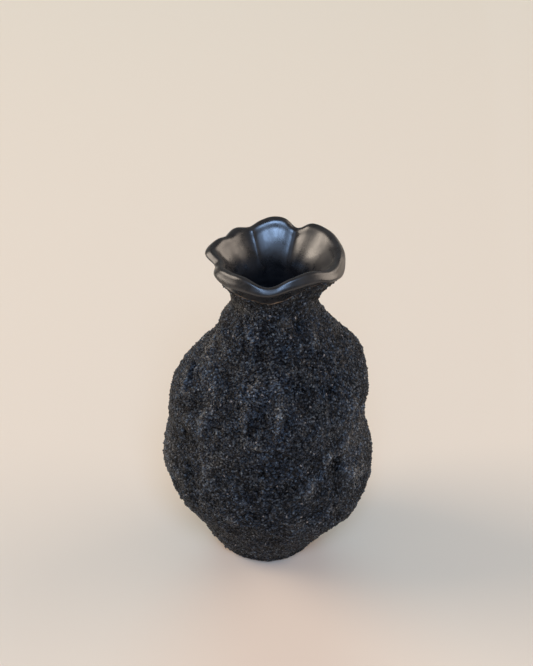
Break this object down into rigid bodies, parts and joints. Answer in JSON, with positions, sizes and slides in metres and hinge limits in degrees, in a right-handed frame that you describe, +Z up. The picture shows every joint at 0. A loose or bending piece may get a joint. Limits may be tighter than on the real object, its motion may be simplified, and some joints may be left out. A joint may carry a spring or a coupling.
{
  "type": "stoneware vase",
  "caption": "Hand-built stoneware bottle vase with a bulging two-lobed body, narrow neck and fluted rolled lip, for holding a few flower stems in water.",
  "frame": {"origin": "under the middle of the pot's outline, at the level of the surface it stands on", "axes": "+Z up out of the mouth, the pot's longest extent; -Y towards the front, the side with the lowest dip in the lip's inner edge"},
  "size_m": [0.1264, 0.1228, 0.2117],
  "materials": {
    "bare_stoneware": "unglazed dark brown stoneware, matt",
    "volcanic_grit": "coarse black fired grit, rough and matt with a few bright grains",
    "black_gloss_glaze": "glossy black glaze"
  },
  "bodies": {
    "root": {"foot_ring": "bare_stoneware", "base_slab": "bare_stoneware", "lower_bowl": "bare_stoneware", "upper_bowl": "bare_stoneware", "neck_collar": "bare_stoneware", "fluted_lip": "bare_stoneware", "liner_glaze": "black_gloss_glaze", "grit_coat": "volcanic_grit"}
  },
  "joints": []
}
